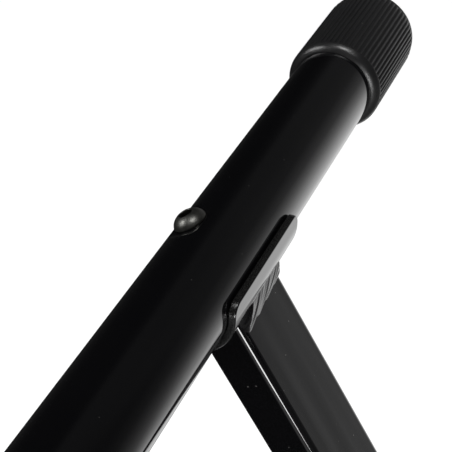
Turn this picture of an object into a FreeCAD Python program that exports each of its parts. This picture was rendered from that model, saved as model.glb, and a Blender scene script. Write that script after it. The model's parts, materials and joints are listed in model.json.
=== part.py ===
import FreeCAD, Part
import math
import os

# Scissor keyboard stand: two crossed legs on one pivot, each with a support arm on top and a foot bar below.
# Millimetres and degrees. +Z is up, +Y runs along the arms, and the origin is on the floor under the pivot.
# Side 1 is the rear leg, at +Y, whose arm is at -X. Side -1 is the front leg, at -Y, whose arm is at +X.

os.makedirs("parts", exist_ok=True)

# Legs, rectangular tube
leg_span = 1000.0  # from the arm's axis to the foot's axis
leg_lean = 30.0  # angle of each leg from upright, as stored
leg_width = 30.0  # along the arms
leg_depth = 16.5  # across the arms
leg_wall = 1.5
leg_corner = 2.3  # outer corner radius

# Arms and feet, round tube
tube_dia = 30.0
tube_wall = 1.5
arm_length = 361.0  # over its caps
foot_length = 420.0  # over its caps

# Rubber end caps
cap_wall = 3.0
cap_end = 4.0  # thickness of the closed end
cap_length = 50.5
cap_lip = 2.5  # round of the open rim
cap_round = 4.0  # round of the closed end

# Saddles, bent plate between a leg's end and its bar
saddle_thick = 2.4
saddle_length = 50.7
saddle_wrap = 60.0  # half the angle of the round part
saddle_wing = 4.8  # flat wing past the round part
saddle_corner = 4.0
saddle_shift = 1.8  # from the leg's centre line towards the stand's outside
corner_limit_share = 0.9  # of the wing, the most that its corner's radius takes

# Button-head screws through the bars, and the nut blocks in the leg ends
screw_dia = 6.0
screw_clear = 0.2  # radial, in the bar and the saddle
screw_head_dia = 11.4
screw_head_high = 4.1
screw_seat = 1.0  # depth of the dent in the bar that the head is drawn into
screw_seat_clear = 0.1  # radial, round the head at the bottom of its dent
screw_seat_flare = 2.5  # how much wider the dent is, all round, for each unit of its height
screw_socket = 4.0  # across the socket's flats
screw_socket_deep = 2.0
screw_shift = 0.4  # from the leg's centre line towards the pivot's middle
screw_past = 1.0  # thread that shows past the nut block
nut_high = 5.0
nut_gap = 1.0  # nut block to the leg's inner wall

# Weld beads
weld_down = 6.0  # along the leg's wide face
weld_out = 4.0  # out from the leg's wide face
weld_length = 28.0
weld_inset = 1.0  # from the leg's outer edge
hub_weld = 4.0  # bead between a hub plate and its leg
hub_weld_length = 40.0

# Pivot
bolt_dia = 8.0
shaft_clear = 0.05  # radial, of the bolt in its holes
bolt_head_flats = 13.0
bolt_head_high = 5.3
bolt_past = 2.0  # bolt past the knob's insert
washer_dia = 24.0
washer_thick = 2.0
sleeve_gap = 0.2  # spacer sleeve to the leg's inner wall
hub_dia = 90.0
hub_thick = 4.0
hub_edge = 0.8  # chamfer
pad_dia = 84.0
pad_thick = 3.0
run_gap = 0.1  # friction disc to the front hub plate

# Hand knob
knob_dia = 54.0
knob_high = 16.0
knob_lobes = 6
knob_lobe = 8.0  # radius of a lobe's tip
knob_hollow = 10.0  # radius of a hollow between lobes
knob_round = 3.0
boss_dia = 28.0
boss_high = 8.0
insert_flats = 14.0
insert_length = 14.0
blind_gap = 1.0  # past the bolt's end

# Overrun of cutting tools, and the tolerance on unit directions
cut_over = 5.0
parallel_tol = 1e-6

# Sizes worked out from those above
half_span = leg_span / 2
tube_r = tube_dia / 2
cap_r = tube_r + cap_wall
saddle_r = tube_r + saddle_thick
screw_r = screw_dia / 2
screw_head_r = screw_head_dia / 2
bolt_hole_r = bolt_dia / 2 + shaft_clear
cavity_depth = leg_depth - 2 * leg_wall
cavity_width = leg_width - 2 * leg_wall
leg_gap = 2 * hub_thick + pad_thick + run_gap
leg_offset = (leg_gap + leg_width) / 2
leg_face = leg_offset + leg_width / 2
knob_base = leg_face + washer_thick
pivot_height = cap_r + half_span * math.cos(math.radians(leg_lean))

vec = FreeCAD.Vector
ORIGIN = vec(0, 0, 0)
X_AXIS = vec(1, 0, 0)
Y_AXIS = vec(0, 1, 0)
Z_AXIS = vec(0, 0, 1)


def edges_along(shape, direction):
    """The straight edges of a shape that run along a unit direction."""
    straight = [edge for edge in shape.Edges if isinstance(edge.Curve, Part.Line)]
    return [edge for edge in straight if edge.Curve.Direction.cross(direction).Length < parallel_tol]


def loop_face(curves):
    """A flat face inside a closed run of lines and arcs."""
    return Part.Face(Part.Wire([curve.toShape() for curve in curves]))


def hexagon(flats, across, along):
    """A hexagonal face round the origin, in the plane of two unit directions."""
    radius = flats / math.sqrt(3)
    corners = []
    for index in range(6):
        angle = math.radians(60 * index)
        corners.append(across * (radius * math.cos(angle)) + along * (radius * math.sin(angle)))
    return Part.Face(Part.makePolygon(corners + corners[:1]))


def ring(outer_r, inner_r, length, start):
    """A plain ring about an axis along +Y."""
    body = Part.makeCylinder(outer_r, length, start, Y_AXIS)
    bore = Part.makeCylinder(inner_r, length + 2 * cut_over, start - Y_AXIS * cut_over, Y_AXIS)
    return body.cut(bore)


def screw_place(side):
    """How far along Y a screw stands."""
    return side * (leg_offset - screw_shift)


def leg(side):
    """Rectangular tube, coped at both ends to the saddles and drilled for the pivot bolt."""
    corner = vec(-leg_depth / 2, side * leg_offset - leg_width / 2, -half_span)
    outer = Part.makeBox(leg_depth, leg_width, leg_span, corner)
    outer = outer.makeFillet(leg_corner, edges_along(outer, Z_AXIS))
    inner = Part.makeBox(cavity_depth, cavity_width, leg_span, corner + vec(leg_wall, leg_wall, 0))
    tube = outer.cut(inner)
    cope_start = -leg_face - cut_over
    cope_length = 2 * (leg_face + cut_over)
    for height in (-half_span, half_span):
        tube = tube.cut(Part.makeCylinder(saddle_r, cope_length, vec(0, cope_start, height), Y_AXIS))
    return tube.cut(Part.makeCylinder(bolt_hole_r, cope_length, vec(0, cope_start, 0), Y_AXIS))


def saddle(side):
    """Plate bent round the underside of a bar, with flat wings whose corners are rounded."""
    wrap = math.radians(saddle_wrap)

    def wing_point(radius, hand, reach):
        out = hand * (radius * math.sin(wrap) + reach * math.cos(wrap))
        up = reach * math.sin(wrap) - radius * math.cos(wrap)
        return vec(out, 0, up)

    inner_left, inner_right = wing_point(tube_r, -1, 0), wing_point(tube_r, 1, 0)
    outer_left, outer_right = wing_point(saddle_r, -1, 0), wing_point(saddle_r, 1, 0)
    tip_in_left, tip_in_right = wing_point(tube_r, -1, saddle_wing), wing_point(tube_r, 1, saddle_wing)
    tip_out_left, tip_out_right = wing_point(saddle_r, -1, saddle_wing), wing_point(saddle_r, 1, saddle_wing)
    section = loop_face([
        Part.LineSegment(tip_in_left, inner_left),
        Part.Arc(inner_left, vec(0, 0, -tube_r), inner_right),
        Part.LineSegment(inner_right, tip_in_right),
        Part.LineSegment(tip_in_right, tip_out_right),
        Part.LineSegment(tip_out_right, outer_right),
        Part.Arc(outer_right, vec(0, 0, -saddle_r), outer_left),
        Part.LineSegment(outer_left, tip_out_left),
        Part.LineSegment(tip_out_left, tip_in_left),
    ])
    plate = section.extrude(Y_AXIS * saddle_length)
    corner_r = min(saddle_corner, saddle_wing * corner_limit_share)
    for hand in (-1, 1):
        through = vec(hand * math.sin(wrap), 0, -math.cos(wrap))
        plate = plate.makeFillet(corner_r, edges_along(plate, through))
    plate.translate(vec(0, side * (leg_offset + saddle_shift) - saddle_length / 2, half_span))
    hole_start = vec(0, screw_place(side), half_span - saddle_r - cut_over)
    hole = Part.makeCylinder(screw_r + screw_clear, saddle_thick + 2 * cut_over, hole_start, Z_AXIS)
    return plate.cut(hole)


def bar(side, length):
    """Round tube of an arm or a foot, drilled through for its screw and dented under the screw's head."""
    tube_length = length - 2 * cap_end
    tube = ring(tube_r, tube_r - tube_wall, tube_length, vec(0, -tube_length / 2, half_span))
    hole_r = screw_r + screw_clear
    hole_length = 2 * (tube_r + cut_over)
    hole_start = vec(0, screw_place(side), half_span - tube_r - cut_over)
    tube = tube.cut(Part.makeCylinder(hole_r, hole_length, hole_start, Z_AXIS))
    dent_r = screw_head_r + screw_seat_clear
    dent_start = vec(0, screw_place(side), half_span + tube_r - screw_seat)
    dent = Part.makeCone(dent_r, dent_r + screw_seat_flare * cut_over, cut_over, dent_start, Z_AXIS)
    return tube.cut(dent)


def end_cap(length, hand):
    """Rubber cup pushed over a bar's end: hand 1 is the back end, -1 the front end."""
    quarter = math.sin(math.radians(45))
    rim_mid = vec(cap_r - cap_lip + cap_lip * quarter, cap_lip - cap_lip * quarter, 0)
    end_mid_r = cap_r - cap_round + cap_round * quarter
    end_mid = vec(end_mid_r, cap_length - cap_round + cap_round * quarter, 0)
    section = loop_face([
        Part.LineSegment(vec(tube_r, 0, 0), vec(cap_r - cap_lip, 0, 0)),
        Part.Arc(vec(cap_r - cap_lip, 0, 0), rim_mid, vec(cap_r, cap_lip, 0)),
        Part.LineSegment(vec(cap_r, cap_lip, 0), vec(cap_r, cap_length - cap_round, 0)),
        Part.Arc(vec(cap_r, cap_length - cap_round, 0), end_mid, vec(cap_r - cap_round, cap_length, 0)),
        Part.LineSegment(vec(cap_r - cap_round, cap_length, 0), vec(0, cap_length, 0)),
        Part.LineSegment(vec(0, cap_length, 0), vec(0, cap_length - cap_end, 0)),
        Part.LineSegment(vec(0, cap_length - cap_end, 0), vec(tube_r, cap_length - cap_end, 0)),
        Part.LineSegment(vec(tube_r, cap_length - cap_end, 0), vec(tube_r, 0, 0)),
    ])
    cup = section.revolve(ORIGIN, Y_AXIS, 360)
    cup.translate(vec(0, length / 2 - cap_length, 0))
    if hand < 0:
        cup.rotate(ORIGIN, Z_AXIS, 180)
    cup.translate(vec(0, 0, half_span))
    return cup


def screw(side):
    """Button-head socket screw, its head on the bar's side away from the leg."""
    dome_r = (screw_head_r ** 2 + screw_head_high ** 2) / (2 * screw_head_high)
    half_turn = math.asin(screw_head_r / dome_r) / 2
    dome_mid = vec(dome_r * math.sin(half_turn), 0, screw_head_high - dome_r + dome_r * math.cos(half_turn))
    length = tube_dia - screw_seat + saddle_thick + nut_high + screw_past
    section = loop_face([
        Part.Arc(vec(0, 0, screw_head_high), dome_mid, vec(screw_head_r, 0, 0)),
        Part.LineSegment(vec(screw_head_r, 0, 0), vec(screw_r, 0, 0)),
        Part.LineSegment(vec(screw_r, 0, 0), vec(screw_r, 0, -length)),
        Part.LineSegment(vec(screw_r, 0, -length), vec(0, 0, -length)),
        Part.LineSegment(vec(0, 0, -length), vec(0, 0, screw_head_high)),
    ])
    body = section.revolve(ORIGIN, Z_AXIS, 360)
    socket = hexagon(screw_socket, X_AXIS, Y_AXIS).extrude(Z_AXIS * (screw_socket_deep + cut_over))
    socket.translate(vec(0, 0, screw_head_high - screw_socket_deep))
    body = body.cut(socket)
    body.translate(vec(0, screw_place(side), half_span + tube_r - screw_seat))
    return body


def nut_block(side):
    """Square threaded block inside a leg's end, against the saddle."""
    width = cavity_depth - 2 * nut_gap
    corner = vec(-width / 2, screw_place(side) - width / 2, half_span - saddle_r - nut_high)
    block = Part.makeBox(width, width, nut_high, corner)
    hole_start = vec(0, screw_place(side), half_span - saddle_r - nut_high - cut_over)
    return block.cut(Part.makeCylinder(screw_r, nut_high + 2 * cut_over, hole_start, Z_AXIS))


def saddle_weld(side, hand):
    """Fillet bead between a saddle and one wide face of its leg."""
    face_x = leg_depth / 2
    far_x = face_x + weld_out

    def on_saddle(x):
        return vec(hand * x, 0, -math.sqrt(saddle_r ** 2 - x ** 2))

    root, top = on_saddle(face_x), on_saddle(far_x)
    toe = root - Z_AXIS * weld_down
    section = loop_face([
        Part.LineSegment(toe, top),
        Part.Arc(top, on_saddle((face_x + far_x) / 2), root),
        Part.LineSegment(root, toe),
    ])
    bead = section.extrude(Y_AXIS * weld_length)
    outer_edge = leg_face - weld_inset
    start = outer_edge - weld_length if side > 0 else -outer_edge
    bead.translate(vec(0, start, half_span))
    return bead


def sleeve(side):
    """Spacer tube round the pivot bolt, between a leg's two narrow walls."""
    start = vec(0, side * leg_offset - cavity_width / 2, 0)
    return ring(cavity_depth / 2 - sleeve_gap, bolt_hole_r, cavity_width, start)


def hub_plate(side):
    """Round plate on the inner side of a leg."""
    start = leg_gap / 2 - hub_thick if side > 0 else -leg_gap / 2
    disc = Part.makeCylinder(hub_dia / 2, hub_thick, vec(0, start, 0), Y_AXIS)
    disc = disc.makeChamfer(hub_edge, [edge for edge in disc.Edges if isinstance(edge.Curve, Part.Circle)])
    bore_start = vec(0, start - cut_over, 0)
    return disc.cut(Part.makeCylinder(bolt_hole_r, hub_thick + 2 * cut_over, bore_start, Y_AXIS))


def hub_bead(side, hand):
    """Fillet bead between a hub plate and one wide face of its leg."""
    root = vec(hand * leg_depth / 2, side * leg_gap / 2, -hub_weld_length / 2)
    out = root + X_AXIS * (hand * hub_weld)
    up = root + Y_AXIS * (side * hub_weld)
    return Part.Face(Part.makePolygon([root, out, up, root])).extrude(Z_AXIS * hub_weld_length)


def pivot_bolt():
    """Hex-head bolt from the rear leg's outer face to the inside of the knob."""
    head_base = leg_face + washer_thick
    end = -(knob_base + insert_length + bolt_past)
    head = hexagon(bolt_head_flats, X_AXIS, Z_AXIS).extrude(Y_AXIS * bolt_head_high)
    head.translate(Y_AXIS * head_base)
    shank = Part.makeCylinder(bolt_dia / 2, head_base - end, Y_AXIS * end, Y_AXIS)
    return head.fuse(shank).removeSplitter()


def bolt_washer():
    """Washer under the bolt's head."""
    return ring(washer_dia / 2, bolt_hole_r, washer_thick, Y_AXIS * leg_face)


def clamp_washer():
    """Washer that the knob presses on the front leg."""
    return ring(washer_dia / 2, bolt_hole_r, washer_thick, Y_AXIS * -knob_base)


def friction_disc():
    """Fibre disc bonded to the rear hub plate."""
    return ring(pad_dia / 2, bolt_hole_r, pad_thick, Y_AXIS * (leg_gap / 2 - hub_thick - pad_thick))


def star_face():
    """Outline of the knob: round lobes with hollows between, tangent to each other."""
    half_step = math.pi / knob_lobes
    lobe_at = knob_dia / 2 - knob_lobe
    reach = knob_lobe + knob_hollow
    hollow_at = lobe_at * math.cos(half_step) + math.sqrt(reach ** 2 - (lobe_at * math.sin(half_step)) ** 2)

    def polar(radius, angle):
        return vec(radius * math.cos(angle), 0, radius * math.sin(angle))

    curves = []
    for index in range(knob_lobes):
        angle = 2 * half_step * index
        lobe = polar(lobe_at, angle)
        hollow_before = polar(hollow_at, angle - half_step)
        hollow_after = polar(hollow_at, angle + half_step)
        next_lobe = polar(lobe_at, angle + 2 * half_step)
        start = lobe + (hollow_before - lobe) * (knob_lobe / reach)
        middle = lobe + (hollow_after - lobe) * (knob_lobe / reach)
        end = next_lobe + (hollow_after - next_lobe) * (knob_lobe / reach)
        curves.append(Part.Arc(start, polar(knob_dia / 2, angle), middle))
        curves.append(Part.Arc(middle, polar(hollow_at - knob_hollow, angle + half_step), end))
    return loop_face(curves)


def knob():
    """Moulded star knob with a boss towards the leg, a pocket for its insert and a blind bolt hole."""
    star = star_face().extrude(Y_AXIS * -knob_high)
    rims = [edge for edge in star.Edges if edge.BoundBox.YLength < parallel_tol]
    star = star.makeFillet(knob_round, rims)
    star.translate(Y_AXIS * -boss_high)
    boss = Part.makeCylinder(boss_dia / 2, boss_high + knob_round, ORIGIN, Y_AXIS * -1)
    body = star.fuse(boss).removeSplitter()
    pocket = hexagon(insert_flats, X_AXIS, Z_AXIS).extrude(Y_AXIS * -(insert_length + cut_over))
    pocket.translate(Y_AXIS * cut_over)
    hole_deep = insert_length + bolt_past + blind_gap
    hole = Part.makeCylinder(bolt_hole_r, hole_deep, ORIGIN, Y_AXIS * -1)
    body = body.cut(pocket).cut(hole)
    body.translate(Y_AXIS * -knob_base)
    return body


def knob_insert():
    """Hexagonal threaded insert moulded into the knob."""
    body = hexagon(insert_flats, X_AXIS, Z_AXIS).extrude(Y_AXIS * -insert_length)
    body = body.cut(Part.makeCylinder(bolt_hole_r, insert_length, ORIGIN, Y_AXIS * -1))
    body.translate(Y_AXIS * -knob_base)
    return body


def place(shape, angle):
    """A copy of a piece, turned about the pivot's axis and lifted to the pivot's height."""
    placed = shape.copy()
    placed.rotate(ORIGIN, Y_AXIS, angle)
    placed.translate(vec(0, 0, pivot_height))
    return placed


def save(name, pieces):
    """One file for a node: a single solid, or a group of like solids."""
    shape = pieces[0] if len(pieces) == 1 else Part.makeCompound(pieces)
    shape.exportStep("parts/" + name + ".step")


# Each leg with what it carries: the bars' pieces are made at the leg's top and turned over for its foot
for leg_name, side in (("rear_leg", 1), ("front_leg", -1)):
    lean = -side * leg_lean
    ends = (("arm", arm_length, lean), ("foot", foot_length, lean + 180))
    save(leg_name, [place(leg(side), lean)])
    save(leg_name + "_sleeve", [place(sleeve(side), lean)])
    save(leg_name + "_hub_plate", [place(hub_plate(side), lean)])
    save(leg_name + "_hub_welds", [place(hub_bead(side, hand), lean) for hand in (-1, 1)])
    save(leg_name + "_screws", [place(screw(side), angle) for _, _, angle in ends])
    save(leg_name + "_nut_blocks", [place(nut_block(side), angle) for _, _, angle in ends])
    for end_name, length, angle in ends:
        bar_name = leg_name + "_" + end_name
        save(bar_name, [place(bar(side, length), angle)])
        save(bar_name + "_saddle", [place(saddle(side), angle)])
        save(bar_name + "_welds", [place(saddle_weld(side, hand), angle) for hand in (-1, 1)])
        save(bar_name + "_back_cap", [place(end_cap(length, 1), angle)])
        save(bar_name + "_front_cap", [place(end_cap(length, -1), angle)])

# The pivot and its clamp
for piece_name, piece in (
    ("pivot_bolt", pivot_bolt()),
    ("bolt_washer", bolt_washer()),
    ("friction_disc", friction_disc()),
    ("clamp_washer", clamp_washer()),
    ("knob", knob()),
    ("knob_insert", knob_insert()),
):
    save(piece_name, [place(piece, 0)])
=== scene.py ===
import json
import math

import bpy
from mathutils import Matrix, Quaternion, Vector


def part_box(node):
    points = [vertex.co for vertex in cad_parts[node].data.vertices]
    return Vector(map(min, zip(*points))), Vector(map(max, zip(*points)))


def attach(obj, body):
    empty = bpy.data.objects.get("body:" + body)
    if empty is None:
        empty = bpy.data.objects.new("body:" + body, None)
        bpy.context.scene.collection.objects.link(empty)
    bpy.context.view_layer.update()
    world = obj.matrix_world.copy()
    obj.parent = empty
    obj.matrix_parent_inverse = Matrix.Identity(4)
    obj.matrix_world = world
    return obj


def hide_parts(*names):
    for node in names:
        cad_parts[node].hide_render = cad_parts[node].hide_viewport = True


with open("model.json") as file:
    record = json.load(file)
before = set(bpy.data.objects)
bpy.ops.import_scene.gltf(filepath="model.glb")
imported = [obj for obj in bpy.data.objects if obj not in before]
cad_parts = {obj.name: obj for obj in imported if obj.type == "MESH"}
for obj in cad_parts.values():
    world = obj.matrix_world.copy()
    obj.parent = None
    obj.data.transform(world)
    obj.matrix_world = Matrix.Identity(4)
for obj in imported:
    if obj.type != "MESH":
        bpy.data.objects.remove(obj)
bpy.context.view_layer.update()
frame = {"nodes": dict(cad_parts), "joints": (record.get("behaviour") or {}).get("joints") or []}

# Frame
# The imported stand, which fixes every place and size here. Metres, +Z up, the arms along Y, the origin on
# the floor under the pivot.
scene = bpy.context.scene
scene.view_settings.view_transform = "Standard"

# Camera
# The photograph looks down on the joint of the rear leg and its arm, from in front and from the right,
# through a short telephoto lens.
CAMERA_FROM_JOINT = Vector((0.1135, -0.2511, 0.2241))
CAMERA_LOOK = Vector((-0.3163, 0.7276, -0.6087))
CAMERA_ROLL = math.radians(-0.24)
LENS_MM = 92.8
SENSOR_MM = 36.0


def middle(node):
    """The centre of a node's box."""
    low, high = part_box(node)
    return (low + high) / 2


arm_joint = middle("rear_leg_arm")
arm_joint.y = middle("rear_leg").y
lens = bpy.data.cameras.new("photo_lens")
lens.lens = LENS_MM
lens.sensor_width = SENSOR_MM
lens.clip_start = 0.01
camera = bpy.data.objects.new("photo_camera", lens)
camera.location = arm_joint + CAMERA_FROM_JOINT
level_look = CAMERA_LOOK.to_track_quat("-Z", "Y")
camera.rotation_euler = (level_look @ Quaternion((0, 0, 1), CAMERA_ROLL)).to_euler()
scene.collection.objects.link(camera)
scene.camera = camera

# Floor
# White studio paper, matt, so that it keeps the stand's shadow, with a glow of its own for the camera. What
# the gloss of the paint sees of it is in the room below.
FLOOR_HALF = 6.0
FLOOR_WHITE = 0.8
FLOOR_GLOW = 0.5


def add_node(tree, kind, **settings):
    """A new node in a tree, with its properties set."""
    node = tree.nodes.new(kind)
    for name, value in settings.items():
        setattr(node, name, value)
    return node


def paper_white(name):
    """Matt white paper that glows for the camera."""
    material = bpy.data.materials.new(name)
    material.use_nodes = True
    tree = material.node_tree
    tree.nodes.clear()
    path = add_node(tree, "ShaderNodeLightPath")
    seen = add_node(tree, "ShaderNodeMath", operation="MULTIPLY")
    seen.inputs[1].default_value = FLOOR_GLOW
    tree.links.new(path.outputs["Is Camera Ray"], seen.inputs[0])
    glow = add_node(tree, "ShaderNodeEmission")
    tree.links.new(seen.outputs[0], glow.inputs["Strength"])
    matt = add_node(tree, "ShaderNodeBsdfDiffuse")
    matt.inputs["Color"].default_value = (FLOOR_WHITE, FLOOR_WHITE, FLOOR_WHITE, 1)
    both = add_node(tree, "ShaderNodeAddShader")
    tree.links.new(matt.outputs[0], both.inputs[0])
    tree.links.new(glow.outputs[0], both.inputs[1])
    end = add_node(tree, "ShaderNodeOutputMaterial")
    tree.links.new(both.outputs[0], end.inputs["Surface"])
    return material


floor_corners = [(x * FLOOR_HALF, y * FLOOR_HALF, 0) for x, y in ((-1, -1), (1, -1), (1, 1), (-1, 1))]
floor_sheet = bpy.data.meshes.new("studio_floor")
floor_sheet.from_pydata(floor_corners, [], [range(4)])
floor_sheet.materials.append(paper_white("studio_paper"))
floor = bpy.data.objects.new("studio_floor", floor_sheet)
scene.collection.objects.link(floor)
floor.visible_glossy = False
floor.visible_transmission = False

# Room and lamps
# Gloss and glass see white paper below, behind and in front of the stand, which fades into a dim room above
# it and to its sides. One soft box hangs nearly overhead, one at the left, and a low one in front draws the
# bright line down the leg's corner.
ROOM_AMBIENT = 0.75
ROUND_TONES = (
    (-180, 0.45), (-173, 0.2), (-165, 0.012), (-60, 0.02), (-30, 0.02), (-22, 0.11), (-16, 0.32), (-8, 0.85),
    (0, 1.0), (28, 1.0), (35, 0.9), (42, 0.73), (50, 0.33), (60, 0.14), (152, 0.15), (166, 0.45),
)
HEIGHT_TONES = ((-90, 0.78), (-30, 0.78), (-20, 0.68), (-9, 0.44), (3, 0.19), (20, 0.065), (45, 0.032))


def remap(tree, value, old, new):
    """A value taken from one range to another, with the ends held."""
    ranged = add_node(tree, "ShaderNodeMapRange")
    for index, number in enumerate((*old, *new), start=1):
        ranged.inputs[index].default_value = number
    tree.links.new(value, ranged.inputs[0])
    return ranged.outputs[0]


def grey_ramp(tree, value, stops):
    """A grey that runs through (place, tone) stops as a value goes from 0 to 1."""
    ramp = add_node(tree, "ShaderNodeValToRGB")
    greys = ramp.color_ramp.elements
    greys.remove(greys[1])
    greys[0].position = stops[0][0]
    greys[0].color = (stops[0][1], stops[0][1], stops[0][1], 1)
    for place, tone in stops[1:]:
        greys.new(place).color = (tone, tone, tone, 1)
    tree.links.new(value, ramp.inputs["Fac"])
    return ramp.outputs["Color"]


def soft_box(name, direction, distance, width, height, watts):
    """An area lamp that looks at the photographed joint."""
    lamp = bpy.data.lights.new(name, "AREA")
    lamp.shape = "RECTANGLE"
    lamp.size = width
    lamp.size_y = height
    lamp.energy = watts
    stand = bpy.data.objects.new(name, lamp)
    toward = Vector(direction).normalized()
    stand.location = arm_joint + toward * distance
    stand.rotation_euler = (-toward).to_track_quat("-Z", "Y").to_euler()
    scene.collection.objects.link(stand)


soft_box("top_soft_box", direction=(0.05, -0.2, 0.97), distance=1.3, width=0.42, height=0.42, watts=5.0)
soft_box("left_soft_box", direction=(-0.785, -0.366, 0.5), distance=1.3, width=0.45, height=0.45, watts=4.6)
soft_box("low_soft_box", direction=(0.49, -0.85, -0.2), distance=1.1, width=0.25, height=0.38, watts=3.2)

room = bpy.data.worlds.new("studio_room")
scene.world = room
room.use_nodes = True
sky = room.node_tree
sky.nodes.clear()
direction = add_node(sky, "ShaderNodeTexCoord")
split = add_node(sky, "ShaderNodeSeparateXYZ")
sky.links.new(direction.outputs["Generated"], split.inputs[0])
compass = add_node(sky, "ShaderNodeMath", operation="ARCTAN2")
sky.links.new(split.outputs["X"], compass.inputs[0])
sky.links.new(split.outputs["Y"], compass.inputs[1])
round_stops = [((angle + 180) / 360, tone) for angle, tone in ROUND_TONES]
round_tone = grey_ramp(sky, remap(sky, compass.outputs[0], (-math.pi, math.pi), (0, 1)), round_stops)
height_stops = [((math.sin(math.radians(angle)) + 1) / 2, tone) for angle, tone in HEIGHT_TONES]
height_tone = grey_ramp(sky, remap(sky, split.outputs["Z"], (-1, 1), (0, 1)), height_stops)
paper_tone = add_node(sky, "ShaderNodeMath", operation="MULTIPLY")
sky.links.new(round_tone, paper_tone.inputs[0])
sky.links.new(height_tone, paper_tone.inputs[1])
paper_room = add_node(sky, "ShaderNodeBackground")
sky.links.new(paper_tone.outputs[0], paper_room.inputs["Color"])
dim_room = add_node(sky, "ShaderNodeBackground")
dim_room.inputs["Strength"].default_value = ROOM_AMBIENT
white_room = add_node(sky, "ShaderNodeBackground")
white_room.inputs["Color"].default_value = (1, 1, 1, 1)
path = add_node(sky, "ShaderNodeLightPath")
reflected = add_node(sky, "ShaderNodeMath", operation="ADD", use_clamp=True)
sky.links.new(path.outputs["Is Glossy Ray"], reflected.inputs[0])
sky.links.new(path.outputs["Is Transmission Ray"], reflected.inputs[1])
paper_or_dim = add_node(sky, "ShaderNodeMixShader")
sky.links.new(reflected.outputs[0], paper_or_dim.inputs[0])
sky.links.new(dim_room.outputs[0], paper_or_dim.inputs[1])
sky.links.new(paper_room.outputs[0], paper_or_dim.inputs[2])
seen_room = add_node(sky, "ShaderNodeMixShader")
sky.links.new(path.outputs["Is Camera Ray"], seen_room.inputs[0])
sky.links.new(paper_or_dim.outputs[0], seen_room.inputs[1])
sky.links.new(white_room.outputs[0], seen_room.inputs[2])
room_end = add_node(sky, "ShaderNodeOutputWorld")
sky.links.new(seen_room.outputs[0], room_end.inputs["Surface"])

# Legs
# Rectangular steel tubes with small round corners, crossed on the pivot. Drawn tube, dipped in black stoved
# enamel: glossy, with the faint orange peel of paint, a little dust, and the faint waves that drawing leaves
# along the tube.
LEGS = {"rear_leg": "rear_frame", "front_leg": "front_frame"}
ENAMEL_BLACK = (0.0026, 0.0026, 0.003, 1)
ENAMEL_DUST = (0.16, 0.155, 0.15, 1)
ENAMEL_ROUGH = (0.05, 0.10)
ENAMEL_COAT_ROUGH = 0.04
DUST_CELLS = 230.0
LEG_DUST = 0.06
WAVE_CELLS = 110.0
WAVE_LONG = 14.0
WAVE_DEEP = 0.00013
PEEL_CELLS = 420.0
NOISE_SPAN = (0.3, 0.7)


def finish_start(name):
    """A new material, its tree, its shader and its Object coordinates."""
    material = bpy.data.materials.new(name)
    material.use_nodes = True
    tree = material.node_tree
    coords = add_node(tree, "ShaderNodeTexCoord")
    return material, tree, tree.nodes["Principled BSDF"], coords.outputs["Object"]


def noise(tree, coords, scale, detail=2.0):
    """The grey value of a noise on the given coordinates."""
    texture = add_node(tree, "ShaderNodeTexNoise")
    texture.inputs["Scale"].default_value = scale
    texture.inputs["Detail"].default_value = detail
    tree.links.new(coords, texture.inputs["Vector"])
    return texture.outputs[0]


def colours(tree, value, low, high):
    """A colour between two, by a value from 0 to 1."""
    ramp = add_node(tree, "ShaderNodeValToRGB")
    ramp.color_ramp.elements[0].color = low
    ramp.color_ramp.elements[1].color = high
    tree.links.new(value, ramp.inputs["Fac"])
    return ramp.outputs["Color"]


def bump(tree, shader, height, strength, depth):
    """Surface relief from a height, over the relief that is there."""
    relief = add_node(tree, "ShaderNodeBump")
    for link in shader.inputs["Normal"].links:
        tree.links.new(link.from_socket, relief.inputs["Normal"])
    relief.inputs["Strength"].default_value = strength
    relief.inputs["Distance"].default_value = depth
    tree.links.new(height, relief.inputs["Height"])
    tree.links.new(relief.outputs[0], shader.inputs["Normal"])


def dust(tree, coords, cells, grain):
    """1 on scattered specks and 0 between them: grain is a speck's radius in cells."""
    spots = add_node(tree, "ShaderNodeTexVoronoi")
    spots.inputs["Scale"].default_value = cells
    tree.links.new(coords, spots.inputs["Vector"])
    return remap(tree, spots.outputs["Distance"], (grain * 0.5, grain), (1, 0))


def drawn_waves(tree, coords, lean):
    """A height in long low waves along a leg that leans by an angle about Y."""
    along_leg = add_node(tree, "ShaderNodeMapping", vector_type="TEXTURE")
    along_leg.inputs["Rotation"].default_value = (0, lean, 0)
    along_leg.inputs["Scale"].default_value = (1, 1, WAVE_LONG)
    tree.links.new(coords, along_leg.inputs["Vector"])
    return noise(tree, along_leg.outputs[0], WAVE_CELLS, detail=1.0)


def black_enamel(name, grain, rough, coat_rough, lean=None):
    """Black stoved enamel with dust specks of the given size, on a leg with its drawn waves."""
    material, tree, shader, coords = finish_start(name)
    specks = dust(tree, coords, DUST_CELLS, grain)
    tree.links.new(colours(tree, specks, ENAMEL_BLACK, ENAMEL_DUST), shader.inputs["Base Color"])
    clouds = noise(tree, coords, scale=60.0)
    tree.links.new(remap(tree, clouds, NOISE_SPAN, rough), shader.inputs["Roughness"])
    shader.inputs["Coat Weight"].default_value = 1.0
    shader.inputs["Coat Roughness"].default_value = coat_rough
    if lean is not None:
        bump(tree, shader, drawn_waves(tree, coords, lean), strength=1.0, depth=WAVE_DEEP)
        tree.links.new(shader.inputs["Normal"].links[0].from_socket, shader.inputs["Coat Normal"])
    bump(tree, shader, noise(tree, coords, PEEL_CELLS, detail=1.0), strength=0.04, depth=0.0002)
    return material


def paint(material, *names):
    """Gives CAD nodes a finish."""
    for name in names:
        slots = frame["nodes"][name].data.materials
        slots.clear()
        slots.append(material)


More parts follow.
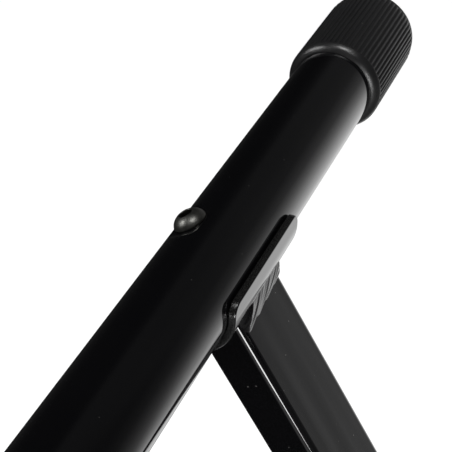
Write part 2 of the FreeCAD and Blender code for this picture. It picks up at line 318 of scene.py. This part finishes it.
for leg in LEGS:
    upward = middle(f"{leg}_arm") - middle(f"{leg}_foot")
    lean = math.atan2(upward.x, upward.z)
    leg_enamel = black_enamel(f"{leg}_enamel", LEG_DUST, ENAMEL_ROUGH, ENAMEL_COAT_ROUGH, lean)
    paint(leg_enamel, leg)

# Saddles
# Steel strip, sheared with round corners and pressed round the underside of each arm and foot, with a flat
# wing at either side. Welded to the leg's end and enamelled with it, so its cut edges stay grainy.
ENDS = ("arm", "foot")
TUBE_RADIUS = 0.015
SADDLE_THICK = 0.0024
SADDLE_LENGTH = 0.0507
SADDLE_WRAP = math.radians(60)
SADDLE_WING = 0.0048
SADDLE_CORNER = 0.004
SADDLE_EDGE = 0.00045
SHEAR_GREY = (0.0115, 0.0115, 0.0105, 1)
SHEAR_CELLS = 3200.0
EDGE_STEPS = 4
CORNER_STEPS = 9
BEND_STEPS = 36
Y_AXIS = Vector((0, 1, 0))


def band_faces(levels, count):
    """Faces between successive closed loops of points."""
    faces = []
    for level in range(levels - 1):
        low, high = level * count, (level + 1) * count
        for index in range(count):
            after = (index + 1) % count
            faces.append((low + index, low + after, high + after, high + index))
    return faces


def saddle_edge(inset):
    """The flat strip's edge on one side, as (across, along) points, at an inset from its outline."""
    half_across = (TUBE_RADIUS + SADDLE_THICK / 2) * SADDLE_WRAP + SADDLE_WING
    corner_across = half_across - SADDLE_CORNER
    corner_along = SADDLE_LENGTH / 2 - SADDLE_CORNER
    radius = SADDLE_CORNER - inset
    points = []
    for step in range(CORNER_STEPS + 1):
        angle = math.pi / 2 * step / CORNER_STEPS
        points.append((-corner_across - radius * math.cos(angle), corner_along + radius * math.sin(angle)))
    for step in range(1, BEND_STEPS):
        points.append((corner_across * (2 * step / BEND_STEPS - 1), corner_along + radius))
    return points + [(-across, along) for across, along in points[CORNER_STEPS::-1]]


def saddle_bend(across, along, lift):
    """A point of the flat strip after pressing: the bar's axis is Y and the leg is below it."""
    radius = TUBE_RADIUS + SADDLE_THICK / 2 + lift
    turn = across / (TUBE_RADIUS + SADDLE_THICK / 2)
    held = max(-SADDLE_WRAP, min(SADDLE_WRAP, turn))
    past = (turn - held) * (TUBE_RADIUS + SADDLE_THICK / 2)
    return Vector((
        radius * math.sin(held) + past * math.cos(held),
        along,
        abs(past) * math.sin(abs(held)) - radius * math.cos(held),
    ))


def saddle_shape(name):
    """A pressed saddle with rounded edges, on a bar along Y at the origin."""
    flat_lift = SADDLE_THICK / 2
    rounds = [(SADDLE_EDGE * 1.3, flat_lift)]
    for step in range(EDGE_STEPS + 1):
        angle = math.pi / 2 * step / EDGE_STEPS
        rounds.append((SADDLE_EDGE * (1 - math.sin(angle)), flat_lift - SADDLE_EDGE * (1 - math.cos(angle))))
    rounds = [(inset, -lift) for inset, lift in rounds] + rounds[::-1]
    points = []
    sheared = []
    for inset, lift in rounds:
        edge = saddle_edge(inset)
        loop = edge + [(across, -along) for across, along in edge[::-1]]
        points += [saddle_bend(across, along, lift) for across, along in loop]
        sheared += [float(lift < flat_lift - SADDLE_EDGE * 0.9)] * len(loop)
    half = len(edge)
    count = 2 * half
    faces = band_faces(len(rounds), count)
    last = (len(rounds) - 1) * count
    for step in range(half - 1):
        strip = (step, step + 1, count - 2 - step, count - 1 - step)
        faces.append(strip[::-1])
        faces.append([last + index for index in strip])
    mesh = bpy.data.meshes.new(name)
    mesh.from_pydata(points, [], faces)
    mesh.attributes.new("sheared", "FLOAT", "POINT").data.foreach_set("value", sheared)
    shape = bpy.data.objects.new(name, mesh)
    scene.collection.objects.link(shape)
    return shape


def sheared_enamel(name):
    """The enamel on a cut strip: smooth on its faces, thin and grainy where it is sheared."""
    material, tree, shader, coords = finish_start(name)
    cut = add_node(tree, "ShaderNodeAttribute", attribute_name="sheared")
    grain = add_node(tree, "ShaderNodeMath", operation="MULTIPLY")
    pits = noise(tree, coords, SHEAR_CELLS, detail=3.0)
    tree.links.new(remap(tree, pits, (0.35, 0.65), (0, 1)), grain.inputs[0])
    tree.links.new(cut.outputs["Fac"], grain.inputs[1])
    tree.links.new(colours(tree, grain.outputs[0], ENAMEL_BLACK, SHEAR_GREY), shader.inputs["Base Color"])
    tree.links.new(remap(tree, grain.outputs[0], (0, 1), (0.07, 0.5)), shader.inputs["Roughness"])
    shader.inputs["Coat Weight"].default_value = 1.0
    shader.inputs["Coat Roughness"].default_value = ENAMEL_COAT_ROUGH
    bump(tree, shader, grain.outputs[0], strength=0.4, depth=0.00008)
    tree.links.new(shader.inputs["Normal"].links[0].from_socket, shader.inputs["Coat Normal"])
    return material


def seat_object(name, seats):
    """An object with one point at each seat, which holds the turn of the piece that goes there."""
    mesh = bpy.data.meshes.new(name)
    mesh.from_pydata([place for place, turn in seats], [], [])
    turns = mesh.attributes.new("turn", "FLOAT_VECTOR", "POINT")
    for point, (place, turn) in zip(turns.data, seats):
        point.vector = turn.to_euler()
    holder = bpy.data.objects.new(name, mesh)
    scene.collection.objects.link(holder)
    return holder


def seat_tree(name, sizes):
    """A geometry tree that takes seats and named sizes, with its start and end nodes."""
    tree = bpy.data.node_groups.new(name, "GeometryNodeTree")
    tree.interface.new_socket("Seats", in_out="INPUT", socket_type="NodeSocketGeometry")
    for label, kind in sizes:
        tree.interface.new_socket(label, in_out="INPUT", socket_type=kind)
    tree.interface.new_socket("Pieces", in_out="OUTPUT", socket_type="NodeSocketGeometry")
    return tree, add_node(tree, "NodeGroupInput"), add_node(tree, "NodeGroupOutput")


def put_on_seats(tree, start, end, piece, material):
    """Ends a tree: the piece at every seat, turned, made real and given its finish."""
    turn = add_node(tree, "GeometryNodeInputNamedAttribute", data_type="FLOAT_VECTOR")
    turn.inputs["Name"].default_value = "turn"
    rotation = add_node(tree, "FunctionNodeEulerToRotation")
    tree.links.new(turn.outputs["Attribute"], rotation.inputs[0])
    placed = add_node(tree, "GeometryNodeInstanceOnPoints")
    tree.links.new(start.outputs["Seats"], placed.inputs["Points"])
    tree.links.new(piece, placed.inputs["Instance"])
    tree.links.new(rotation.outputs[0], placed.inputs["Rotation"])
    real = add_node(tree, "GeometryNodeRealizeInstances")
    tree.links.new(placed.outputs[0], real.inputs[0])
    finish = add_node(tree, "GeometryNodeSetMaterial")
    finish.inputs["Material"].default_value = material
    tree.links.new(real.outputs[0], finish.inputs["Geometry"])
    tree.links.new(finish.outputs[0], end.inputs["Pieces"])


def shape_tree(name, material):
    """A geometry tree that puts one ready shape at every seat."""
    tree, start, end = seat_tree(name, [("Shape", "NodeSocketObject")])
    shape = add_node(tree, "GeometryNodeObjectInfo")
    tree.links.new(start.outputs["Shape"], shape.inputs["Object"])
    put_on_seats(tree, start, end, shape.outputs["Geometry"], material)
    return tree


def grow(name, tree, seats, sizes, crease):
    """Runs a tree on seats and returns a plain mesh object, smooth up to the given crease in degrees."""
    holder = seat_object(name, seats)
    modifier = holder.modifiers.new(name, "NODES")
    modifier.node_group = tree
    for socket in tree.interface.items_tree:
        if socket.in_out == "INPUT" and socket.name in sizes:
            modifier[socket.identifier] = sizes[socket.name]
    bpy.context.view_layer.update()
    made = bpy.data.meshes.new_from_object(holder.evaluated_get(bpy.context.evaluated_depsgraph_get()))
    holder.modifiers.clear()
    holder.data = made
    made.name = name
    made.shade_smooth()
    made.set_sharp_from_angle(angle=math.radians(crease))
    return holder


def frame_axes(out, along):
    """A turn whose local X points out and whose local Y points along."""
    return Matrix((out, along, out.cross(along))).transposed()


def bar_centre(leg, end):
    """The point on an arm's or a foot's axis over the middle of its leg."""
    centre = middle(f"{leg}_{end}")
    centre.y = middle(leg).y
    return centre


def leg_inward(leg, end):
    """The direction from an arm or a foot along its leg to the pivot."""
    way = Vector(frame["joints"][0]["pos_m"]) - bar_centre(leg, end)
    way.y = 0
    return way.normalized()


saddle_one = saddle_shape("pressed_saddle")
saddle_tree = shape_tree("saddles", sheared_enamel("sheared_black_enamel"))
for leg, body in LEGS.items():
    seats = []
    for end in ENDS:
        place = bar_centre(leg, end)
        place.y = middle(f"{leg}_{end}_saddle").y
        seats.append((place, frame_axes(leg_inward(leg, end).cross(Y_AXIS), Y_AXIS)))
    saddles = grow(f"{leg}_saddles", saddle_tree, seats, {"Shape": saddle_one}, crease=60)
    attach(saddles, body)
    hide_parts(*[f"{leg}_{end}_saddle" for end in ENDS])
bpy.data.objects.remove(saddle_one)

# Saddle welds
# Fillet beads between each saddle and the wide faces of its leg, laid by hand in a few slanting drops, thin
# where they start and round where they end. Steel, under the same enamel, which is duller on them.
LEG_DEPTH = 0.0165
BEAD_OUT = 0.004
BEAD_DOWN_END = 0.0031
BEAD_DOWN_START = 0.0055
BEAD_LENGTH = 0.0299
BEAD_SINK = 0.0003
BEAD_ROUND = 0.0006
BEAD_END = 0.0024
BEAD_TAPER_TOP = 0.0064
BEAD_TAPER_TOE = 0.0018
BEAD_TAPER_SHARE = 0.3
BEAD_ROUGH = (0.14, 0.24)
BEAD_COAT_ROUGH = 0.12
CLEAN_DUST = 0.025
BEAD_CREST_LEAN = 0.011
DROP_PITCH = 0.00725
DROP_TIP = 0.001
RIPPLE_PITCH = 0.0027
RIPPLE_HIGH = 0.00028
BEAD_LEVELS = 84
BEAD_ACROSS = 16


def ring_mesh(name, rings, close_start, close_end, join_ends=False):
    """A closed skin over rings of points of equal count: a point closes an end, or the ends join up."""
    points = [point for ring in rings for point in ring]
    count = len(rings[0])
    faces = band_faces(len(rings), count)
    if join_ends:
        last = (len(rings) - 1) * count
        for index in range(count):
            after = (index + 1) % count
            faces.append((last + index, last + after, after, index))
    for close, level in ((close_start, 0), (close_end, len(rings) - 1)):
        if close:
            points.append(sum(rings[level], Vector()) / count)
            for index in range(count):
                pair = (level * count + index, level * count + (index + 1) % count)
                if level == 0:
                    pair = pair[::-1]
                faces.append((*pair, len(points) - 1))
    mesh = bpy.data.meshes.new(name)
    mesh.from_pydata(points, [], faces)
    shape = bpy.data.objects.new(name, mesh)
    scene.collection.objects.link(shape)
    return shape


def weld_bead(name, top, downs, length, tapers, crest_lean):
    """A fillet bead along Y in the corner at the origin, from its top edge (out, up) to its toe below.

    downs are the toe's depths at its start and its end. It thins out towards its start, over the two
    tapers at its top and its toe, and its other end is round."""
    root = Vector((-BEAD_SINK, 0))
    rings = []
    for level in range(BEAD_LEVELS + 1):
        share = level / BEAD_LEVELS
        run = length * share
        chord = Vector((-BEAD_SINK, (downs[0] - downs[1]) * share - downs[0])) - top
        face_out = Vector((-chord.y, chord.x)).normalized()
        nose = math.sqrt(max(1 - max(1 - (length - run) / BEAD_END, 0) ** 2, 0.01))
        ring = []
        for step in range(BEAD_ACROSS + 1):
            fall = step / BEAD_ACROSS
            full = min(run / (tapers[0] + (tapers[1] - tapers[0]) * fall), 1)
            crest = run - length / 2 + crest_lean * fall
            drop = abs(math.cos(math.pi * crest / DROP_PITCH))
            ripple = abs(math.sin(math.pi * crest / RIPPLE_PITCH))
            bulge = BEAD_ROUND * (0.5 + 0.5 * drop) + RIPPLE_HIGH * ripple
            spot = top + chord * fall + face_out * (math.sin(math.pi * fall) * bulge * full)
            spot.y -= DROP_TIP * (drop - 0.6) * fall ** 3 * full
            spot = root + (spot - root) * min(nose, BEAD_TAPER_SHARE + (1 - BEAD_TAPER_SHARE) * full)
            ring.append(Vector((spot.x, length * (share - 0.5), spot.y)))
        ring.append(Vector((root.x, length * (share - 0.5), root.y)))
        rings.append(ring)
    return ring_mesh(name, rings, True, True)


saddle_radius = TUBE_RADIUS + SADDLE_THICK
root_drop = math.sqrt(saddle_radius ** 2 - (LEG_DEPTH / 2) ** 2)
top_out = LEG_DEPTH / 2 + BEAD_OUT
bead_top = Vector((top_out, -math.sqrt(saddle_radius ** 2 - top_out ** 2))) * (1 - BEAD_SINK / saddle_radius)
bead_top -= Vector((LEG_DEPTH / 2, -root_drop))
bead_downs = (BEAD_DOWN_START, BEAD_DOWN_END)
bead_tapers = (BEAD_TAPER_TOP, BEAD_TAPER_TOE)
bead_one = weld_bead("saddle_bead", bead_top, bead_downs, BEAD_LENGTH, bead_tapers, BEAD_CREST_LEAN)
bead_tree = shape_tree("weld_beads", black_enamel("weld_enamel", CLEAN_DUST, BEAD_ROUGH, BEAD_COAT_ROUGH))
for leg, body in LEGS.items():
    seats = []
    for end in ENDS:
        inward = leg_inward(leg, end)
        for hand in (1, -1):
            out = inward.cross(Y_AXIS) * hand
            place = bar_centre(leg, end) + inward * root_drop + out * (LEG_DEPTH / 2)
            seats.append((place, frame_axes(out, out.cross(inward))))
    beads = grow(f"{leg}_saddle_welds", bead_tree, seats, {"Shape": bead_one}, crease=50)
    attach(beads, body)
    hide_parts(*[f"{leg}_{end}_welds" for end in ENDS])
bpy.data.objects.remove(bead_one)

# Arms and feet
# Round steel tubes across the legs, enamelled like them. Each is drilled for its screw, whose head has drawn
# a shallow dent into the tube.
TUBE_BORE = 0.0135
DENT_DEEP = 0.001
DENT_FLAT = 0.0061
DENT_RADIUS = 0.0091
DENT_REACH = 45
DENT_STEP = 0.0004
TURN_STEP = 3
SCREW_SHIFT = 0.0004


def screw_foot(leg, end):
    """The point on an arm's or a foot's axis under its screw."""
    foot = bar_centre(leg, end)
    foot.y -= math.copysign(SCREW_SHIFT, foot.y)
    return foot


def dented(turn, run):
    """Across and up from a tube's axis, at a turn from the screw's direction and a run along from it."""
    across, up = TUBE_RADIUS * math.sin(turn), TUBE_RADIUS * math.cos(turn)
    share = (math.hypot(across, run) - DENT_FLAT) / (DENT_RADIUS - DENT_FLAT)
    share = max(0, min(1, share))
    rise = share * share * (3 - 2 * share)
    floor_up = TUBE_RADIUS - DENT_DEEP
    if up > floor_up:
        up = floor_up + (up - floor_up) * rise
    return across, up


def dented_bar(leg, end):
    """The skin of a tube, outside and in, in its place."""
    foot = screw_foot(leg, end)
    outward = -leg_inward(leg, end)
    sideways = Y_AXIS.cross(outward)
    low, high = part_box(f"{leg}_{end}")
    degrees = [*range(-DENT_REACH, DENT_REACH + 1)]
    degrees += range(DENT_REACH + TURN_STEP, 360 - DENT_REACH, TURN_STEP)
    turns = [math.radians(angle) for angle in degrees]
    dent_steps = math.ceil(DENT_RADIUS / DENT_STEP)
    runs = [low.y - foot.y]
    runs += [index * DENT_STEP for index in range(-dent_steps, dent_steps + 1)]
    runs += [high.y - foot.y]
    rings = []
    for run in runs:
        spots = [dented(turn, run) for turn in turns]
        rings.append([foot + sideways * across + outward * up + Y_AXIS * run for across, up in spots])
    for run in (high.y - foot.y, low.y - foot.y):
        rings.append([foot + (sideways * math.sin(turn) + outward * math.cos(turn)) * TUBE_BORE + Y_AXIS * run
                      for turn in turns])
    bar = ring_mesh(f"{leg}_{end}_tube", rings, False, False, True)
    bar.data.materials.append(clean_enamel)
    bar.data.shade_smooth()
    bar.data.set_sharp_from_angle(angle=math.radians(50))
    return bar


clean_enamel = black_enamel("black_enamel", CLEAN_DUST, ENAMEL_ROUGH, ENAMEL_COAT_ROUGH)
for leg, body in LEGS.items():
    for end in ENDS:
        bar = dented_bar(leg, end)
        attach(bar, body)
        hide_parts(f"{leg}_{end}")

# End caps
# Rubber cups pushed over the ends of the arms and feet: a smooth rounded rim, then fine ribs along the
# grip, then a rounded closed end. Moulded, satin, and held by their own squeeze.
CAP_RADIUS = 0.01799
CAP_BORE = 0.01502
CAP_END = 0.004
RIM_RADIUS = 0.01795
RIM_DEEP = 0.0027
RIM_LAND = 0.0003
RIM_CROWN = 0.00045
RIM_FOLD = 0.0004
RIM_STEPS = 14
RIB_ROOT = 0.0174
RIB_COUNT = 60
RIB_HALF = 0.00066
RIB_SINK = 0.0003
RIB_RUN_OUT = 0.003
END_ROUND = 0.004
TURN_STEPS = 120
RUBBER_BLACK = (0.009, 0.009, 0.0095, 1)
RUBBER_DUST = (0.14, 0.135, 0.13, 1)


def arc(centre_r, centre_z, radius, start, stop, steps):
    """Points (radius, height) along an arc, in degrees from the outward direction."""
    points = []
    for index in range(steps + 1):
        angle = math.radians(start + (stop - start) * index / steps)
        points.append((centre_r + radius * math.cos(angle), centre_z + radius * math.sin(angle)))
    return points


def round_ring(radius, height):
    """A ring of points round a circle."""
    angles = [2 * math.pi * index / TURN_STEPS for index in range(TURN_STEPS)]
    return [Vector((radius * math.cos(angle), radius * math.sin(angle), height)) for angle in angles]


def cap_rubber(name):
    """Satin moulded rubber with a fine skin and a few specks of dust."""
    material, tree, shader, coords = finish_start(name)
    specks = dust(tree, coords, cells=110.0, grain=0.035)
    tree.links.new(colours(tree, specks, RUBBER_BLACK, RUBBER_DUST), shader.inputs["Base Color"])
    skin = noise(tree, coords, scale=300.0)
    tree.links.new(remap(tree, skin, NOISE_SPAN, (0.3, 0.38)), shader.inputs["Roughness"])
    shader.inputs["Specular IOR Level"].default_value = 1.0
    bump(tree, shader, noise(tree, coords, scale=1500.0), strength=0.12, depth=0.0002)
    return material


rubber = cap_rubber("cap_rubber")
low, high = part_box("rear_leg_arm_back_cap")
cap_length = high.y - low.y
rib_stop = cap_length - END_ROUND
cap_profile = [(CAP_BORE * 0.5, cap_length - CAP_END), (CAP_BORE, cap_length - CAP_END), (CAP_BORE, 0)]
for step in range(RIM_STEPS + 1):
    share = step / RIM_STEPS
    swell = RIM_CROWN * math.sin(math.pi * share) / math.sqrt(2)
    rim_r = CAP_BORE + RIM_LAND + (RIM_RADIUS - CAP_BORE - RIM_LAND) * share
    cap_profile.append((rim_r + swell, RIM_DEEP * share - swell))
cap_profile += arc(RIM_RADIUS - RIM_FOLD, RIM_DEEP + RIM_FOLD, RIM_FOLD, start=-30, stop=60, steps=6)
cap_profile += [(RIB_ROOT, RIM_DEEP + RIM_FOLD * 2.4), (RIB_ROOT, rib_stop)]
cap_profile += arc(RIB_ROOT - END_ROUND, cap_length - END_ROUND, END_ROUND, start=10, stop=90, steps=10)
cap_cup = ring_mesh("cap_cup", [round_ring(*point) for point in cap_profile], True, True)

rib_high = CAP_RADIUS - RIB_ROOT
rib_section = [(-RIB_SINK, -1.0), (0.55 * rib_high, -0.85), (0.93 * rib_high, -0.45), (rib_high, 0),
               (0.93 * rib_high, 0.45), (0.55 * rib_high, 0.85), (-RIB_SINK, 1.0)]
rib_levels = [(RIM_DEEP, 0.5), (RIM_DEEP * 1.5, 1.0), (rib_stop - RIB_RUN_OUT, 1.0), (rib_stop, 0.05)]
rib_rings = []
for level, share in rib_levels:
    rib_rings.append([Vector((max(depth * share, -RIB_SINK), side * RIB_HALF, level))
                      for depth, side in rib_section])
rib_bar = ring_mesh("cap_rib", rib_rings, True, True)

cap_tree, cap_start, cap_stop = seat_tree("ribbed_cap", [
    ("Cup", "NodeSocketObject"),
    ("Rib", "NodeSocketObject"),
    ("Ribs", "NodeSocketInt"),
    ("Root Radius", "NodeSocketFloat"),
])
cup_shape = add_node(cap_tree, "GeometryNodeObjectInfo")
cap_tree.links.new(cap_start.outputs["Cup"], cup_shape.inputs["Object"])
rib_shape = add_node(cap_tree, "GeometryNodeObjectInfo")
cap_tree.links.new(cap_start.outputs["Rib"], rib_shape.inputs["Object"])
rib_circle = add_node(cap_tree, "GeometryNodeMeshCircle")
cap_tree.links.new(cap_start.outputs["Ribs"], rib_circle.inputs["Vertices"])
cap_tree.links.new(cap_start.outputs["Root Radius"], rib_circle.inputs["Radius"])
rib_index = add_node(cap_tree, "GeometryNodeInputIndex")
rib_share = add_node(cap_tree, "ShaderNodeMath", operation="DIVIDE")
cap_tree.links.new(rib_index.outputs[0], rib_share.inputs[0])
cap_tree.links.new(cap_start.outputs["Ribs"], rib_share.inputs[1])
rib_angle = add_node(cap_tree, "ShaderNodeMath", operation="MULTIPLY")
rib_angle.inputs[1].default_value = 2 * math.pi
cap_tree.links.new(rib_share.outputs[0], rib_angle.inputs[0])
rib_euler = add_node(cap_tree, "ShaderNodeCombineXYZ")
cap_tree.links.new(rib_angle.outputs[0], rib_euler.inputs["Z"])
rib_turn = add_node(cap_tree, "FunctionNodeEulerToRotation")
cap_tree.links.new(rib_euler.outputs[0], rib_turn.inputs[0])
ribs = add_node(cap_tree, "GeometryNodeInstanceOnPoints")
cap_tree.links.new(rib_circle.outputs[0], ribs.inputs["Points"])
cap_tree.links.new(rib_shape.outputs["Geometry"], ribs.inputs["Instance"])
cap_tree.links.new(rib_turn.outputs[0], ribs.inputs["Rotation"])
ribbed = add_node(cap_tree, "GeometryNodeJoinGeometry")
cap_tree.links.new(cup_shape.outputs["Geometry"], ribbed.inputs[0])
cap_tree.links.new(ribs.outputs[0], ribbed.inputs[0])
put_on_seats(cap_tree, cap_start, cap_stop, ribbed.outputs[0], rubber)

for leg, body in LEGS.items():
    seats = []
    names = []
    for end in ENDS:
        for side, hand in (("back", 1), ("front", -1)):
            names.append(f"{leg}_{end}_{side}_cap")
            place = middle(names[-1])
            place.y -= hand * cap_length / 2
            seats.append((place, frame_axes(Vector((0, 0, hand)), Vector((1, 0, 0)))))
    caps = grow(f"{leg}_caps", cap_tree, seats, {
        "Cup": cap_cup,
        "Rib": rib_bar,
        "Ribs": RIB_COUNT,
        "Root Radius": RIB_ROOT,
    }, crease=50)
    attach(caps, body)
    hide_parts(*names)
bpy.data.objects.remove(cap_cup)
bpy.data.objects.remove(rib_bar)

# Screws
# Button-head socket screws through each arm and foot into the nut block in the leg, drawn a little into the
# tube. Black oxide steel, satin, with a hex socket in the dome, whose shade is painted into its colour.
HEAD_RADIUS = 0.0055
HEAD_HIGH = 0.0041
HEAD_FULL = 2.1
HEAD_UNDER = 0.0006
HEAD_LEAN = 0.0009
SOCKET_FLATS = 0.004
SOCKET_DEEP = 0.002
SOCKET_LEAD = 0.0003
DOME_STEPS = 18
SHANK_RADIUS = 0.003
SHANK_LENGTH = 0.0374
# Painted shade: this dark colour in the socket stands in for the shade inside its recess.
OXIDE_SOCKET_SHADE = (0.055, 0.055, 0.05, 1)
OXIDE_WORN = (0.34, 0.34, 0.32, 1)


def hexed(flats, height):
    """A ring of points round a hexagon."""
    ring = []
    for index in range(TURN_STEPS):
        angle = 2 * math.pi * index / TURN_STEPS
        off = (angle + math.pi / 6) % (math.pi / 3) - math.pi / 6
        radius = flats / 2 / math.cos(off)
        ring.append(Vector((radius * math.cos(angle), radius * math.sin(angle), height)))
    return ring


def black_oxide(name):
    """Satin black oxide on steel, handled grey outside, with painted shade darkening the socket."""
    material, tree, shader, coords = finish_start(name)
    # The attribute is 0 in the socket, which takes the base colour down to the painted socket shade.
    outside_socket_shade = add_node(tree, "ShaderNodeAttribute", attribute_name="outside_socket_shade")
    shade = add_node(tree, "ShaderNodeMath", operation="MULTIPLY")
    tree.links.new(remap(tree, noise(tree, coords, scale=900.0), NOISE_SPAN, (0.36, 0.5)), shade.inputs[0])
    tree.links.new(outside_socket_shade.outputs["Fac"], shade.inputs[1])
    tree.links.new(colours(tree, shade.outputs[0], OXIDE_SOCKET_SHADE, OXIDE_WORN), shader.inputs["Base Color"])
    satin = noise(tree, coords, scale=500.0)
    tree.links.new(remap(tree, satin, NOISE_SPAN, (0.36, 0.44)), shader.inputs["Roughness"])
    shader.inputs["Metallic"].default_value = 1.0
    bump(tree, shader, noise(tree, coords, scale=2500.0), strength=0.08, depth=0.0001)
    return material


oxide = black_oxide("screw_black_oxide")
mouth_radius = SOCKET_FLATS / math.sqrt(3) + SOCKET_LEAD
dome_stop = math.acos((mouth_radius / HEAD_RADIUS) ** (HEAD_FULL / 2))
dome_low = HEAD_UNDER - HEAD_LEAN
dome_start = math.asin((HEAD_LEAN / (HEAD_HIGH - dome_low)) ** (HEAD_FULL / 2))
screw_rings = [
    round_ring(SHANK_RADIUS, -SHANK_LENGTH),
    round_ring(SHANK_RADIUS, 0),
    round_ring(HEAD_RADIUS - HEAD_UNDER, 0),
]
for step in range(DOME_STEPS + 1):
    angle = dome_start + (dome_stop - dome_start) * step / DOME_STEPS
    dome_height = dome_low + (HEAD_HIGH - dome_low) * math.sin(angle) ** (2 / HEAD_FULL)
    screw_rings.append(round_ring(HEAD_RADIUS * math.cos(angle) ** (2 / HEAD_FULL), dome_height))
screw_rings.append(hexed(SOCKET_FLATS, dome_height - SOCKET_LEAD))
screw_rings.append(hexed(SOCKET_FLATS, HEAD_HIGH - SOCKET_DEEP))
screw_one = ring_mesh("button_screw", screw_rings, True, True)
# 1 on the dome and shank, 0 on the socket's rings and floor, where the socket's shade is painted.
outside_shade_values = [1.0] * TURN_STEPS * (len(screw_rings) - 2) + [0.0] * TURN_STEPS * 2 + [1.0, 0.0]
screw_one.data.attributes.new("outside_socket_shade", "FLOAT", "POINT").data.foreach_set("value", outside_shade_values)
screw_tree = shape_tree("button_screws", oxide)
for leg, body in LEGS.items():
    seats = []
    for end in ENDS:
        outward = -leg_inward(leg, end)
        place = screw_foot(leg, end) + outward * (TUBE_RADIUS - DENT_DEEP)
        across = Y_AXIS.cross(outward)
        seats.append((place, frame_axes(across, outward.cross(across))))
    screws = grow(f"{leg}_button_screws", screw_tree, seats, {"Shape": screw_one}, crease=35)
    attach(screws, body)
    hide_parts(f"{leg}_screws")
bpy.data.objects.remove(screw_one)

# Hub plates and their welds
# Round steel plates on the inner side of each leg, which clamp the friction disc between them. Each is
# welded along both wide faces of its leg and enamelled with it.
HUB_BEAD = 0.004
HUB_BEAD_LENGTH = 0.040
HUB_BEAD_LEAN = 0.002
hub_top = Vector((HUB_BEAD, BEAD_SINK))
hub_downs = (HUB_BEAD, HUB_BEAD)
hub_tapers = (BEAD_TAPER_TOE, BEAD_TAPER_TOE)
hub_one = weld_bead("hub_bead", hub_top, hub_downs, HUB_BEAD_LENGTH, hub_tapers, HUB_BEAD_LEAN)
for leg, body in LEGS.items():
    paint(clean_enamel, f"{leg}_hub_plate")
    away = math.copysign(1, middle(leg).y)
    low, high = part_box(f"{leg}_hub_plate")
    seats = []
    for hand in (1, -1):
        out = leg_inward(leg, "arm").cross(Y_AXIS) * hand
        place = Vector(frame["joints"][0]["pos_m"]) + out * (LEG_DEPTH / 2)
        place.y = high.y if away > 0 else low.y
        seats.append((place, frame_axes(out, out.cross(Y_AXIS * away))))
    beads = grow(f"{leg}_hub_beads", bead_tree, seats, {"Shape": hub_one}, crease=50)
    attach(beads, body)
    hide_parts(f"{leg}_hub_welds")
bpy.data.objects.remove(hub_one)

# Pivot bolt, washers, sleeves and nut blocks
# Zinc-plated steel: the bolt the legs turn on, the washers under its head and under the knob, the spacers
# inside the legs, and the threaded blocks that the screws draw against the saddles.
ZINC_LOW = (0.52, 0.53, 0.55, 1)
ZINC_HIGH = (0.68, 0.69, 0.70, 1)


def zinc_plate(name):
    """Bright zinc plating with a faint cloudiness."""
    material, tree, shader, coords = finish_start(name)
    shade = noise(tree, coords, scale=160.0)
    tree.links.new(colours(tree, shade, ZINC_LOW, ZINC_HIGH), shader.inputs["Base Color"])
    satin = noise(tree, coords, scale=700.0)
    tree.links.new(remap(tree, satin, NOISE_SPAN, (0.22, 0.36)), shader.inputs["Roughness"])
    shader.inputs["Metallic"].default_value = 1.0
    bump(tree, shader, noise(tree, coords, scale=2200.0), strength=0.06, depth=0.0001)
    return material


zinc = zinc_plate("zinc_plate")
paint(zinc, "pivot_bolt", "bolt_washer", "clamp_washer")
for leg in LEGS:
    paint(zinc, f"{leg}_sleeve", f"{leg}_nut_blocks")

# Friction disc
# A ring of pressed brake fibre between the hub plates. It is bonded to the rear one, and the front one turns
# against it and is held by it when the knob is tight.
FIBRE_LOW = (0.10, 0.075, 0.05, 1)
FIBRE_HIGH = (0.24, 0.19, 0.13, 1)


def brake_fibre(name):
    """Speckled pressed fibre."""
    material, tree, shader, coords = finish_start(name)
    flecks = noise(tree, coords, scale=1400.0, detail=4.0)
    tree.links.new(colours(tree, flecks, FIBRE_LOW, FIBRE_HIGH), shader.inputs["Base Color"])
    shader.inputs["Roughness"].default_value = 0.85
    bump(tree, shader, flecks, strength=0.4, depth=0.0003)
    return material


paint(brake_fibre("brake_fibre"), "friction_disc")

# Hand knob
# Six-lobed knob moulded in black plastic round a brass insert. The insert's thread runs on the pivot bolt
# and draws the hub plates together.
PLASTIC_LOW = (0.012, 0.012, 0.013, 1)
PLASTIC_HIGH = (0.02, 0.02, 0.021, 1)
BRASS_LOW = (0.55, 0.36, 0.12, 1)
BRASS_HIGH = (0.72, 0.50, 0.20, 1)


def knob_plastic(name):
    """Black moulded plastic with a spark-eroded grain."""
    material, tree, shader, coords = finish_start(name)
    shade = noise(tree, coords, scale=120.0)
    tree.links.new(colours(tree, shade, PLASTIC_LOW, PLASTIC_HIGH), shader.inputs["Base Color"])
    satin = noise(tree, coords, scale=400.0)
    tree.links.new(remap(tree, satin, NOISE_SPAN, (0.38, 0.5)), shader.inputs["Roughness"])
    bump(tree, shader, noise(tree, coords, scale=2600.0, detail=1.0), strength=0.25, depth=0.0002)
    return material


def insert_brass(name):
    """Turned brass."""
    material, tree, shader, coords = finish_start(name)
    shade = noise(tree, coords, scale=300.0)
    tree.links.new(colours(tree, shade, BRASS_LOW, BRASS_HIGH), shader.inputs["Base Color"])
    satin = noise(tree, coords, scale=900.0)
    tree.links.new(remap(tree, satin, NOISE_SPAN, (0.22, 0.34)), shader.inputs["Roughness"])
    shader.inputs["Metallic"].default_value = 1.0
    return material


paint(knob_plastic("knob_plastic"), "knob")
paint(insert_brass("insert_brass"), "knob_insert")
